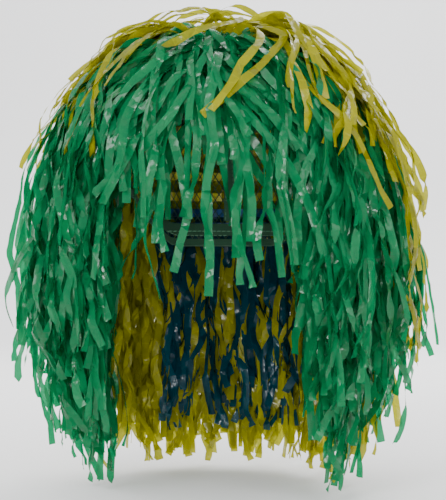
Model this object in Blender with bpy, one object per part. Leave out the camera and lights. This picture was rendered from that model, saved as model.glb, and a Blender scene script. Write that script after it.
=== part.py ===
"""Costume wig of cut film strips, sewn in rows on an elastic cap.

The frame has +Z up, the wearer looks along -Y, and the wearer's left is +X. The origin is the
point of the crown where the wig rests on a head: the flat underside of the crown disc.
The cap is a net dome that ends in an elastic edge band. Rows of film strips are sewn to it by
their header tapes. Where the strips lie on the cap they are modelled as crown solids, and
where they hang free they are curtains that swing outwards about an axis at the cap.
"""

import math

import bmesh
import bpy

# Head and cap
HEAD_GAP = 0.0028  # from the head's surface to the net's inner face
NET_HALF_WIDTH = 0.0785
NET_HALF_LENGTH = 0.0985
NET_HEIGHT = 0.0963  # from the widest level of the head up to the crown
WIDEST_Z = HEAD_GAP - NET_HEIGHT
NET_THICKNESS = 0.0008
EDGE_FRONT, EDGE_SIDE, EDGE_NAPE = 64.0, 93.0, 119.0  # degrees down from the crown
TO_EAR_TURNS, TO_NAPE_TURNS = (42.0, 76.0), (112.0, 148.0)  # where the edge drops
CAP_SIDES, CAP_RINGS = 40, 9
BAND_ANGLE = 3.8
BAND_GAP_ANGLE = 0.5
BAND_LAYER = (-0.0004, 0.0012)
EAR_TAB_MIDDLE, EAR_TAB_HALF_WIDTH, EAR_TAB_DROP = 84.0, 10.0, 11.0
EAR_TAB_ROOT_DROP = 2.0
DISC_RADIUS, DISC_THICKNESS, DISC_CHAMFER, DISC_SIDES = 0.012, 0.0011, 0.001, 24

# Tapes inside the net and header tapes outside it, as offsets from the net's inner face
LINING_LAYER = (-0.0022, -0.0012)
HEADER_LAYER = (0.0017, 0.0027)
TAPE_HALF_WIDTH = 0.005
LINING_TOP = 13.0  # degrees down from the crown at which the lining tapes begin
LINING_FRONT, LINING_SIDE, LINING_BACK = 56.0, 90.0, 110.0
FOREHEAD_TAPE_TURN, FOREHEAD_TAPE_ANGLE = 50.0, 6.5
NAPE_ELASTIC_TURN, NAPE_ELASTIC_ANGLE = 135.0, 7.5
EDGE_TAPE_GAP_ANGLE = 1.0
HEADER_ANGLE = 4.0
GREEN_ROWS = (24.0, 34.0, 44.0, 53.0)
TEMPLE_ROWS = ((64.0, 62.0), (75.0, 74.0))  # level, and the turn at which the row begins
YELLOW_ROWS = (24.0, 34.0, 44.0, 54.0, 64.0, 75.0, 87.0, 97.0)
LOW_ROW_LEVEL, LOW_ROW_START = 90.0, 122.0  # rows below this level begin behind the ears
BLUE_ROWS, BLUE_START = (105.0, 112.0), 146.0
WHORL_LEVELS = (5.0, 10.0, 15.0)
COLOUR_LINE = 104.0  # turn from the forehead at which green ends and yellow begins
ROW_GAP_ANGLE = 1.0

# Film strips
STRIP_OFFSET = 0.0042  # the strips start this far outside the net's inner face
CROWN_LOFT = 0.033
FULL_TURNS, THIN_TURNS = (25.0, 80.0), (110.0, 160.0)  # where the strips get fuller and thinner
FRONT_GROWTH, SIDE_GROWTH, NAPE_GROWTH = -0.008, 0.044, -0.004
FRONT_FULLNESS, SIDE_FULLNESS, NAPE_FULLNESS = 0.40, 0.60, -0.06
HANG_LEVEL = 87.0  # degrees down from the crown at which the side and back strips hang free
HANG_Z = -0.0892
FRINGE_LEVEL = 63.0
FRINGE_Z = -0.0515
TOP_PATCH_ANGLE = 21.0
FRINGE_END, SIDE_END = 40.0, 125.0  # turns from the forehead at which the curtains part
FRINGE_TIP_Z, UPPER_TIP_Z, LOWER_TIP_Z, NAPE_TIP_Z = -0.181, -0.234, -0.322, -0.290
FRINGE_UPPER_TIP_Z = -0.146
NAPE_TOP_Z = -0.124
NAPE_LAYER = 0.010
LAYER_GAP = 0.0016
FRINGE_SPLIT, FRINGE_DEPTH = 0.033, 0.062
# Curtain faces as (height, distance) pairs
CURTAIN_LEAN = ((-0.055, -0.0075), (HANG_Z, 0.0), (-0.20, 0.001), (LOWER_TIP_Z, 0.0))
CURTAIN_SPLIT = ((HANG_Z, 0.034), (-0.16, 0.046), (-0.235, 0.052), (-0.29, 0.044), (LOWER_TIP_Z, 0.026))
CURTAIN_DEPTH = ((HANG_Z, 0.066), (-0.147, 0.072), (UPPER_TIP_Z, 0.080), (LOWER_TIP_Z, 0.080))
SECTOR_GAP_ANGLE = 0.5
SIDE_SWING, BACK_SWING = 30.0, 30.0
SWING_MARGIN = 3.0
FRINGE_TOP_SLOPE = 32.0  # lets the fringe swing 50 degrees

GREEN = (0.010, 0.190, 0.060)
YELLOW = (0.420, 0.370, 0.015)
BLUE = (0.010, 0.060, 0.120)
NET_COLOUR = (0.015, 0.030, 0.020)
TAPE_COLOUR = (0.020, 0.060, 0.030)
FILM_ROUGHNESS, HEADER_ROUGHNESS, TAPE_ROUGHNESS = 0.35, 0.45, 0.85
SHARP_ANGLE = 40.0


def smooth(value, low, high):
    """Rise from 0 at low to 1 at high without a corner."""
    share = min(1.0, max(0.0, (value - low) / (high - low)))
    return share * share * (3.0 - 2.0 * share)


def along(value, pairs):
    """Read a height profile given by a few (place, amount) pairs in falling or rising order."""
    ordered = sorted(pairs)
    if value <= ordered[0][0]:
        return ordered[0][1]
    for (low, low_amount), (high, high_amount) in zip(ordered, ordered[1:]):
        if value <= high:
            return low_amount + (high_amount - low_amount) * (value - low) / (high - low)
    return ordered[-1][1]


def turn_from_front(angle):
    """Degrees from the forehead's direction, 0 to 180, the same on both sides."""
    return abs((angle + 90.0 + 180.0) % 360.0 - 180.0)


def oval(half_x, half_y, angle):
    """Radius of an ellipse at a true direction."""
    a = math.radians(angle)
    return 1.0 / math.hypot(math.cos(a) / half_x, math.sin(a) / half_y)


def at(radius, angle, z):
    a = math.radians(angle)
    return (radius * math.cos(a), radius * math.sin(a), z)


def on_cap(level, angle, offset):
    """Point outside the net's inner face, level degrees down from the crown."""
    down = math.radians(level)
    half_x = (NET_HALF_WIDTH + offset) * math.sin(down)
    half_y = (NET_HALF_LENGTH + offset) * math.sin(down)
    z = WIDEST_Z + (NET_HEIGHT + offset) * math.cos(down)
    if half_x < 1e-7:
        return (0.0, 0.0, z)
    return at(oval(half_x, half_y, angle), angle, z)


def cap_edge(angle):
    """Level of the net's lower edge: high on the forehead, low at the nape."""
    turn = turn_from_front(angle)
    to_ear = (EDGE_SIDE - EDGE_FRONT) * smooth(turn, *TO_EAR_TURNS)
    to_nape = (EDGE_NAPE - EDGE_SIDE) * smooth(turn, *TO_NAPE_TURNS)
    return EDGE_FRONT + to_ear + to_nape


def crown_loft(level, angle):
    """Height of the strips over the cap, low at the forehead and full at the sides and back."""
    turn = turn_from_front(angle)
    growth = FRONT_GROWTH + SIDE_GROWTH * smooth(turn, *FULL_TURNS) + NAPE_GROWTH * smooth(turn, *THIN_TURNS)
    return CROWN_LOFT + growth * (level / HANG_LEVEL) ** 2


def curtain_fullness(angle):
    turn = turn_from_front(angle)
    thin = NAPE_FULLNESS * smooth(turn, *THIN_TURNS)
    return FRONT_FULLNESS + SIDE_FULLNESS * smooth(turn, *FULL_TURNS) + thin


def curtain_inner(angle, z):
    """Radius of the curtains' inner face, which is clear of the cap."""
    lean = along(z, CURTAIN_LEAN)
    half_x = NET_HALF_WIDTH + STRIP_OFFSET + lean
    half_y = NET_HALF_LENGTH + STRIP_OFFSET + lean
    return oval(half_x, half_y, angle)


def curtain_outer(angle, z):
    return curtain_inner(angle, z) + along(z, CURTAIN_DEPTH) * curtain_fullness(angle)


def curtain_middle(angle, z):
    """Radius where the upper rows' strips lie on the lower rows' strips."""
    return curtain_inner(angle, z) + along(z, CURTAIN_SPLIT) * curtain_fullness(angle)


def steps(low, high, count):
    return [low + (high - low) * i / count for i in range(count + 1)]


def material(name, colour, roughness):
    mat = bpy.data.materials.new(name)
    mat.use_nodes = True
    shader = mat.node_tree.nodes["Principled BSDF"]
    shader.inputs["Base Color"].default_value = (*colour, 1.0)
    shader.inputs["Roughness"].default_value = roughness
    return mat


def finished(name, mesh_data, colour, roughness, parent=None):
    """Close a bmesh, turn its faces out, and put it in the scene with its own material."""
    bmesh.ops.remove_doubles(mesh_data, verts=mesh_data.verts, dist=1e-6)
    bmesh.ops.recalc_face_normals(mesh_data, faces=mesh_data.faces)
    bmesh.ops.triangulate(mesh_data, faces=mesh_data.faces)
    if mesh_data.calc_volume(signed=True) < 0.0:
        bmesh.ops.reverse_faces(mesh_data, faces=mesh_data.faces)
    if parent is not None:
        bmesh.ops.translate(mesh_data, verts=mesh_data.verts, vec=-parent.location)
    mesh = bpy.data.meshes.new(name)
    mesh_data.to_mesh(mesh)
    mesh_data.free()
    mesh.shade_smooth()
    mesh.set_sharp_from_angle(angle=math.radians(SHARP_ANGLE))
    mesh.materials.append(material(name, colour, roughness))
    obj = bpy.data.objects.new(name, mesh)
    bpy.context.scene.collection.objects.link(obj)
    obj.parent = parent
    return obj


def slab(inner, outer, across, down, ring=False):
    """Closed solid between two point grids: inner(u, v) and outer(u, v) for u across and v down."""
    mesh_data = bmesh.new()
    grids = []
    for face in (inner, outer):
        grids.append([[mesh_data.verts.new(face(u, v)) for v in down] for u in across])
    columns = len(across)
    count = columns if ring else columns - 1
    for i in range(count):
        j = (i + 1) % columns
        for k in range(len(down) - 1):
            for grid in grids:
                mesh_data.faces.new((grid[i][k], grid[j][k], grid[j][k + 1], grid[i][k + 1]))
        for k in (0, len(down) - 1):
            mesh_data.faces.new((grids[0][i][k], grids[0][j][k], grids[1][j][k], grids[1][i][k]))
    if not ring:
        for i in (0, columns - 1):
            for k in range(len(down) - 1):
                mesh_data.faces.new((grids[0][i][k], grids[0][i][k + 1], grids[1][i][k + 1], grids[1][i][k]))
    return mesh_data


def dome(inner, outer, around, down):
    """Closed bowl between two point grids whose first row is the pole."""
    mesh_data = bmesh.new()
    grids = []
    for face in (inner, outer):
        pole = mesh_data.verts.new(face(around[0], down[0]))
        grids.append((pole, [[mesh_data.verts.new(face(u, v)) for v in down[1:]] for u in around]))
    last = len(down) - 2
    for i in range(len(around)):
        j = (i + 1) % len(around)
        for pole, grid in grids:
            mesh_data.faces.new((pole, grid[i][0], grid[j][0]))
            for k in range(last):
                mesh_data.faces.new((grid[i][k], grid[j][k], grid[j][k + 1], grid[i][k + 1]))
        lower = [grids[0][1][i][last], grids[0][1][j][last], grids[1][1][j][last], grids[1][1][i][last]]
        mesh_data.faces.new(lower)
    return mesh_data


def make_net():
    around = steps(0.0, 360.0, CAP_SIDES)[:-1]
    down = steps(0.0, 1.0, CAP_RINGS)

    def face(offset):
        return lambda angle, share: on_cap(share * cap_edge(angle), angle, offset)

    body = dome(face(0.0), face(NET_THICKNESS), around, down)
    finished("crown_net", body, NET_COLOUR, TAPE_ROUGHNESS)


def make_edge_band():
    around = steps(0.0, 360.0, CAP_SIDES)[:-1]

    def face(offset):
        return lambda angle, share: on_cap(cap_edge(angle) + share, angle, offset)

    down = (BAND_GAP_ANGLE, BAND_GAP_ANGLE + BAND_ANGLE)
    finished("elastic_edge_band", slab(face(BAND_LAYER[0]), face(BAND_LAYER[1]), around, down, ring=True),
             TAPE_COLOUR, TAPE_ROUGHNESS)


def make_ear_tab(name, side):
    """Round-ended tongue under the edge band, in front of one ear."""

    def face(offset):
        def point(across, share):
            turn = EAR_TAB_MIDDLE + across * EAR_TAB_HALF_WIDTH
            angle = -90.0 + side * turn
            root = cap_edge(angle) + 2.0 * BAND_GAP_ANGLE + BAND_ANGLE
            drop = EAR_TAB_ROOT_DROP + EAR_TAB_DROP * math.sqrt(max(0.0, 1.0 - across * across))
            return on_cap(root + drop * share, angle, offset)
        return point

    body = slab(face(BAND_LAYER[0]), face(BAND_LAYER[1]), steps(-1.0, 1.0, 8), steps(0.0, 1.0, 3))
    finished(name, body, TAPE_COLOUR, TAPE_ROUGHNESS)


def make_crown_disc():
    """Flat patch inside the crown, which rests on the head."""
    mesh_data = bmesh.new()
    bmesh.ops.create_cone(mesh_data, cap_ends=True, segments=DISC_SIDES, radius1=DISC_RADIUS,
                          radius2=DISC_RADIUS - DISC_CHAMFER, depth=DISC_THICKNESS)
    bmesh.ops.translate(mesh_data, verts=mesh_data.verts, vec=(0.0, 0.0, DISC_THICKNESS / 2.0))
    finished("crown_disc", mesh_data, TAPE_COLOUR, TAPE_ROUGHNESS)


def make_lining_tape(name, direction, last):
    """Flat tape inside the net that runs straight down from the crown in one direction."""

    def face(offset):
        def point(across, level):
            radius = oval(NET_HALF_WIDTH + offset, NET_HALF_LENGTH + offset, direction)
            reach = radius * math.sin(math.radians(level))
            spread = math.degrees(math.asin(across * TAPE_HALF_WIDTH / reach))
            return on_cap(level, direction + spread, offset)
        return point

    body = slab(face(LINING_LAYER[0]), face(LINING_LAYER[1]), steps(-1.0, 1.0, 2), steps(LINING_TOP, last, 9))
    finished(name, body, TAPE_COLOUR, TAPE_ROUGHNESS)


def make_edge_tape(name, first_turn, last_turn, width_angle):
    """Tape inside the net along its edge, centred on the forehead or on the nape."""

    def face(offset):
        return lambda angle, rise: on_cap(cap_edge(angle) - rise, angle, offset)

    body = slab(face(LINING_LAYER[0]), face(LINING_LAYER[1]),
                steps(first_turn - 90.0, last_turn - 90.0, 14), (width_angle, EDGE_TAPE_GAP_ANGLE))
    finished(name, body, TAPE_COLOUR, TAPE_ROUGHNESS)


def make_header(name, level, first_turn, last_turn, colour):
    """Folded heading of one row of strips, sewn round the outside of the net."""

    def face(offset):
        return lambda angle, here: on_cap(here, angle, offset)

    around = steps(first_turn - 90.0, last_turn - 90.0, max(6, round((last_turn - first_turn) / 9.0)))
    half = HEADER_ANGLE / 2.0
    body = slab(face(HEADER_LAYER[0]), face(HEADER_LAYER[1]), around, (level - half, level + half))
    finished(name, body, colour, HEADER_ROUGHNESS)


def make_whorl_header():
    """Coiled heading on top of the crown, from which the topmost strips spread."""
    body = slab(lambda angle, level: on_cap(level, angle, HEADER_LAYER[0]),
                lambda angle, level: on_cap(level, angle, HEADER_LAYER[1]),
                steps(0.0, 360.0, 24)[:-1], WHORL_LEVELS, ring=True)
    finished("whorl_header_yellow", body, YELLOW, HEADER_ROUGHNESS)


def make_headers():
    line = COLOUR_LINE - ROW_GAP_ANGLE
    for number, level in enumerate(GREEN_ROWS, 1):
        make_header(f"header_green_{number}", level, -line, line, GREEN)
    for number, (level, near) in enumerate(TEMPLE_ROWS, 1):
        make_header(f"header_green_left_{number}", level, near, line, GREEN)
        make_header(f"header_green_right_{number}", level, -line, -near, GREEN)
    for number, level in enumerate(YELLOW_ROWS, 1):
        start = LOW_ROW_START if level > LOW_ROW_LEVEL else COLOUR_LINE + ROW_GAP_ANGLE
        make_header(f"header_yellow_{number}", level, start, 360.0 - start, YELLOW)
    for number, level in enumerate(BLUE_ROWS, 1):
        make_header(f"header_blue_{number}", level, BLUE_START, 360.0 - BLUE_START, BLUE)


def make_crown_strips(name, first_turn, last_turn, last_level, colour):
    """Strips of one sector that lie over the cap, from the top patch to where they hang free."""
    around = steps(first_turn - 90.0 + SECTOR_GAP_ANGLE, last_turn - 90.0 - SECTOR_GAP_ANGLE,
                   max(4, round((last_turn - first_turn) / 10.0)))
    body = slab(lambda angle, level: on_cap(level, angle, STRIP_OFFSET),
                lambda angle, level: on_cap(level, angle, crown_loft(level, angle)),
                around, steps(TOP_PATCH_ANGLE + ROW_GAP_ANGLE, last_level, 6))
    finished(name, body, colour, FILM_ROUGHNESS)


def make_top_strips():
    """Strips of the whorl, a cushion over the middle of the crown."""
    body = dome(lambda angle, level: on_cap(level, angle, STRIP_OFFSET),
                lambda angle, level: on_cap(level, angle, crown_loft(level, angle)),
                steps(0.0, 360.0, 24)[:-1], steps(0.0, TOP_PATCH_ANGLE, 3))
    finished("crown_strips_top", body, YELLOW, FILM_ROUGHNESS)


class Curtain:
    """One group of free-hanging strips that swings outwards as a whole."""

    def __init__(self, name, first_turn, last_turn, swing_angle, top_z, top_slope):
        first = first_turn - 90.0 + SECTOR_GAP_ANGLE
        last = last_turn - 90.0 - SECTOR_GAP_ANGLE
        self.top_z = top_z
        self.slope = math.tan(math.radians(top_slope))
        self.around = steps(first, last, max(6, round((last_turn - first_turn) / 8.0)))
        self.swing_angle = swing_angle
        self.reach = max(self.along_swing(curtain_inner(angle, top_z), angle) for angle in self.around)
        self.axis = bpy.data.objects.new(f"axis_{name}", None)
        self.axis.location = at(self.reach, self.swing_angle, top_z)
        bpy.context.scene.collection.objects.link(self.axis)

    def along_swing(self, radius, angle):
        return radius * math.cos(math.radians(angle - self.swing_angle))

    def top(self, radius, angle, top_z):
        """Height of the top face, which falls away outwards so that the swing is free."""
        over = max(0.0, self.along_swing(radius, angle) - self.reach)
        return min(top_z, self.top_z - over * self.slope)

    def layer(self, name, inside, outside, tip_z, colour, top_z=None):
        """One row group of the curtain, between two radius functions of (angle, z)."""
        start = self.top_z if top_z is None else top_z

        def face(radius_at):
            def point(angle, share):
                first = self.top(radius_at(angle, start), angle, start)
                z = first + (tip_z - first) * share
                return at(radius_at(angle, z), angle, z)
            return point

        body = slab(face(inside), face(outside), self.around, steps(0.0, 1.0, 5))
        finished(name, body, colour, FILM_ROUGHNESS, self.axis)


def make_fringe():
    curtain = Curtain("fringe", -FRINGE_END, FRINGE_END, -90.0, FRINGE_Z, FRINGE_TOP_SLOPE)

    def behind(depth):
        return lambda angle, z: curtain_inner(angle, z) + depth * curtain_fullness(angle)

    def split(angle, z):
        return behind(FRINGE_SPLIT)(angle, z) + LAYER_GAP

    curtain.layer("fringe_strips_lower", curtain_inner, behind(FRINGE_SPLIT), FRINGE_TIP_Z, GREEN)
    curtain.layer("fringe_strips_upper", split, behind(FRINGE_DEPTH), FRINGE_UPPER_TIP_Z, GREEN)


def make_side(side_name, first_turn, last_turn, swing_angle):
    curtain = Curtain(side_name, first_turn, last_turn, swing_angle, HANG_Z, SIDE_SWING + SWING_MARGIN)
    curtain.layer(f"{side_name}_strips_lower", curtain_inner, curtain_middle, LOWER_TIP_Z, GREEN)
    curtain.layer(f"{side_name}_strips_upper",
                  lambda angle, z: curtain_middle(angle, z) + LAYER_GAP,
                  curtain_outer, UPPER_TIP_Z, GREEN)


def make_back(side_name, first_turn, last_turn):
    middle = (first_turn + last_turn) / 2.0 - 90.0
    curtain = Curtain(side_name, first_turn, last_turn, middle, HANG_Z, BACK_SWING + SWING_MARGIN)

    def behind_nape(angle, z):
        return curtain_inner(angle, z) + NAPE_LAYER

    curtain.layer(f"{side_name}_strips_nape", curtain_inner,
                  lambda angle, z: behind_nape(angle, z) - LAYER_GAP, NAPE_TIP_Z, BLUE, NAPE_TOP_Z)
    curtain.layer(f"{side_name}_strips_lower", behind_nape, curtain_middle, LOWER_TIP_Z, YELLOW)
    curtain.layer(f"{side_name}_strips_upper",
                  lambda angle, z: curtain_middle(angle, z) + LAYER_GAP,
                  curtain_outer, UPPER_TIP_Z, YELLOW)


def make_cap():
    make_net()
    make_edge_band()
    make_ear_tab("ear_tab_left", 1.0)
    make_ear_tab("ear_tab_right", -1.0)
    make_crown_disc()
    make_lining_tape("lining_tape_front", -90.0, LINING_FRONT)
    make_lining_tape("lining_tape_back", 90.0, LINING_BACK)
    make_lining_tape("lining_tape_left", 0.0, LINING_SIDE)
    make_lining_tape("lining_tape_right", 180.0, LINING_SIDE)
    make_edge_tape("forehead_tape", -FOREHEAD_TAPE_TURN, FOREHEAD_TAPE_TURN, FOREHEAD_TAPE_ANGLE)
    make_edge_tape("nape_elastic", NAPE_ELASTIC_TURN, 360.0 - NAPE_ELASTIC_TURN, NAPE_ELASTIC_ANGLE)


def make_strips():
    make_top_strips()
    make_crown_strips("crown_strips_front", -FRINGE_END, FRINGE_END, FRINGE_LEVEL, GREEN)
    make_crown_strips("crown_strips_left", FRINGE_END, COLOUR_LINE, HANG_LEVEL, GREEN)
    make_crown_strips("crown_strips_right", -COLOUR_LINE, -FRINGE_END, HANG_LEVEL, GREEN)
    make_crown_strips("crown_strips_back_left", COLOUR_LINE, 180.0, HANG_LEVEL, YELLOW)
    make_crown_strips("crown_strips_back_right", 180.0, 360.0 - COLOUR_LINE, HANG_LEVEL, YELLOW)
    make_fringe()
    make_side("left", FRINGE_END, SIDE_END, 0.0)
    make_side("right", -SIDE_END, -FRINGE_END, 180.0)
    make_back("back_left", SIDE_END, 180.0)
    make_back("back_right", 180.0, 360.0 - SIDE_END)


def main():
    for obj in list(bpy.data.objects):
        bpy.data.objects.remove(obj, do_unlink=True)
    make_cap()
    make_whorl_header()
    make_headers()
    make_strips()
    bpy.context.view_layer.update()


main()
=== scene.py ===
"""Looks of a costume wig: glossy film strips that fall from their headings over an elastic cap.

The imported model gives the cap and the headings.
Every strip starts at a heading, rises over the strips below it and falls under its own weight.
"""

import logging
import math
from dataclasses import dataclass, field
from enum import Enum
from typing import Sequence

import bmesh
import bpy
import numpy as np
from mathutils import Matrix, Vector


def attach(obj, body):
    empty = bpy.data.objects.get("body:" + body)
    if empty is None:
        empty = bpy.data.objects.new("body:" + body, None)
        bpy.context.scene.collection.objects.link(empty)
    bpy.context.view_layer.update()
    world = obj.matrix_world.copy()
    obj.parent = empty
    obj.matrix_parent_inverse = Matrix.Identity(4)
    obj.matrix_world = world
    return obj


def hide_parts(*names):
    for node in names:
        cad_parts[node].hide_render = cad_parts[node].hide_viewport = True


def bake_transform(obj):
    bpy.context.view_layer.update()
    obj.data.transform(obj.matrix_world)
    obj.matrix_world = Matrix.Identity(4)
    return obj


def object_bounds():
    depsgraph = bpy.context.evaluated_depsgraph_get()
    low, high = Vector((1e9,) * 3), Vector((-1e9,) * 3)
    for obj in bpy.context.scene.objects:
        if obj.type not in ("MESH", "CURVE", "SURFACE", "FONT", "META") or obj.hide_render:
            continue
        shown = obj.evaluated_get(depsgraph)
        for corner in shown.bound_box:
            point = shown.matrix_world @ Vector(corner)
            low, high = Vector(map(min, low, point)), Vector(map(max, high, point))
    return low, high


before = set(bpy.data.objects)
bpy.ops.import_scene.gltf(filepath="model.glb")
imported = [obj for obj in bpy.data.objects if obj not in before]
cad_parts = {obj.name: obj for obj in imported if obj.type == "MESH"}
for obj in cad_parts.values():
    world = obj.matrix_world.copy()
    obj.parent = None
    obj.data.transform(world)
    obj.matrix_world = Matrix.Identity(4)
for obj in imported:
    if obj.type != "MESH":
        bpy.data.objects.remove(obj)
CAD_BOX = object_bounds()
LOG = logging.getLogger("costume_wig")
UP = np.array((0.0, 0.0, 1.0))
SMALL = 1e-9


class Dye(Enum):
    """Colour of the film that a strip is cut from."""

    GREEN = "green"
    YELLOW = "yellow"
    BLUE = "blue"


class Zone(Enum):
    """Part of the wig that a strip ends in; its value names the pieces, and the cap carries the crown's pieces."""

    CROWN = "cap"
    FRINGE = "fringe"
    LEFT = "left_curtain"
    RIGHT = "right_curtain"
    BACK_LEFT = "back_left_curtain"
    BACK_RIGHT = "back_right_curtain"


def unit(vectors: np.ndarray) -> np.ndarray:
    """Return the vectors scaled to length 1 along their last axis."""
    return vectors / np.maximum(np.linalg.norm(vectors, axis=-1, keepdims=True), SMALL)


def dot(first: np.ndarray, second: np.ndarray) -> np.ndarray:
    """Return the row by row dot products with the last axis kept."""
    return np.sum(first * second, axis=-1, keepdims=True)


def ease(values: np.ndarray, low: float, high: float) -> np.ndarray:
    """Return a rise from 0 at low to 1 at high without a corner."""
    share = np.clip((np.asarray(values, float) - low) / (high - low), 0.0, 1.0)
    return share * share * (3.0 - 2.0 * share)


def turned(vectors: np.ndarray, axes: np.ndarray, angles: np.ndarray) -> np.ndarray:
    """Turn vectors about unit axes.

    Args:
        vectors: Rows of vectors.
        axes: Rows of unit axes.
        angles: Angles in radians, one per row.

    Returns:
        The turned rows.
    """
    cosine = np.cos(angles)[..., None]
    sine = np.sin(angles)[..., None]
    return vectors * cosine + np.cross(axes, vectors) * sine + axes * dot(axes, vectors) * (1.0 - cosine)


# ---------------------------------------------------------------------------------------------
# Node helpers


class Nodes:
    """Thin writer for one node tree, which keeps the build of each tree short and readable."""

    def __init__(self, tree: bpy.types.NodeTree) -> None:
        """Keep the tree that nodes are added to."""
        self.tree = tree

    def add(self, kind: str, inputs: dict[str | int, object] | None = None, **settings: object) -> bpy.types.Node:
        """Add one node.

        Args:
            kind: Blender's name of the node type.
            inputs: Values or sockets for its inputs, by name or place.
            settings: Properties of the node to set.

        Returns:
            The new node.
        """
        node = self.tree.nodes.new(kind)
        for name, value in settings.items():
            setattr(node, name, value)
        for key, value in (inputs or {}).items():
            self.put(node.inputs[key], value)
        return node

    def put(self, target: bpy.types.NodeSocket, value: object) -> None:
        """Link a socket to target, or set target's own value.

        Args:
            target: Input socket.
            value: Output socket, or a plain value.
        """
        if isinstance(value, bpy.types.NodeSocket):
            self.tree.links.new(value, target)
        else:
            target.default_value = value

    def math(self, operation: str, *values: object, clamp: bool = False) -> bpy.types.NodeSocket:
        """Add a Math node and return its result.

        Args:
            operation: Name of the operation.
            values: Its inputs in order.
            clamp: Whether the result is held between 0 and 1.

        Returns:
            The output socket.
        """
        inputs = dict(enumerate(values))
        return self.add("ShaderNodeMath", inputs, operation=operation, use_clamp=clamp).outputs[0]

    def vector(self, operation: str, *values: object) -> bpy.types.NodeSocket:
        """Add a Vector Math node and return its result.

        Args:
            operation: Name of the operation.
            values: Its vector inputs in order, and a scale last for SCALE.

        Returns:
            The output socket.
        """
        inputs = {0: values[0], "Scale": values[1]} if operation == "SCALE" else dict(enumerate(values))
        node = self.add("ShaderNodeVectorMath", inputs, operation=operation)
        return node.outputs["Value" if operation == "DOT_PRODUCT" else "Vector"]

    def mix(self, share: object, first: object, second: object) -> bpy.types.NodeSocket:
        """Mix two colours and return the result.

        Args:
            share: Amount of the second colour.
            first: Colour at 0.
            second: Colour at 1.

        Returns:
            The colour socket.
        """
        return self.add("ShaderNodeMix", {0: share, 6: first, 7: second}, data_type="RGBA").outputs[2]

    def ramp(self, value: object, low: float, high: float) -> bpy.types.NodeSocket:
        """Map value to 0 at low and 1 at high, smoothly.

        Args:
            value: Number to map.
            low: Where the result is 0.
            high: Where the result is 1.

        Returns:
            The result socket.
        """
        return self.add("ShaderNodeMapRange", {"Value": value, "From Min": low, "From Max": high},
                        interpolation_type="SMOOTHSTEP").outputs[0]

    def dressed(self, geometry: bpy.types.NodeSocket, finish: bpy.types.NodeSocket) -> bpy.types.NodeSocket:
        """Realize geometry and set its material.

        Args:
            geometry: Geometry socket.
            finish: Material socket.

        Returns:
            The geometry socket.
        """
        real = self.add("GeometryNodeRealizeInstances", {"Geometry": geometry}).outputs[0]
        return self.add("GeometryNodeSetMaterial", {"Geometry": real, "Material": finish}).outputs[0]

    def bump(self, height: bpy.types.NodeSocket, strength: float = 1.0,
             distance: float = 1.0) -> bpy.types.NodeSocket:
        """Turn a height into a normal.

        Args:
            height: The height's socket.
            strength: Share of the bump that shows.
            distance: Depth in metres of a height of 1.

        Returns:
            The normal socket.
        """
        return self.add("ShaderNodeBump", {"Strength": strength, "Distance": distance, "Height": height}).outputs[0]


SOCKET_KINDS = {
    float: "NodeSocketFloat",
    int: "NodeSocketInt",
    "vector": "NodeSocketVector",
    "geometry": "NodeSocketGeometry",
    "material": "NodeSocketMaterial",
}


def new_group(name: str, kind: str, inputs: dict[str, object], outputs: dict[str, object]) -> Nodes:
    """Make an empty node group with named sockets.

    Args:
        name: Name of the group.
        kind: Blender's name of the tree type.
        inputs: Input names and socket kinds.
        outputs: Output names and socket kinds.

    Returns:
        A writer for the new tree.
    """
    tree = bpy.data.node_groups.new(name, kind)
    for names, side in ((inputs, "INPUT"), (outputs, "OUTPUT")):
        for label, socket in names.items():
            tree.interface.new_socket(name=label, in_out=side, socket_type=SOCKET_KINDS[socket])
    return Nodes(tree)


# ---------------------------------------------------------------------------------------------
# Surface effects that several finishes share


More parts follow.
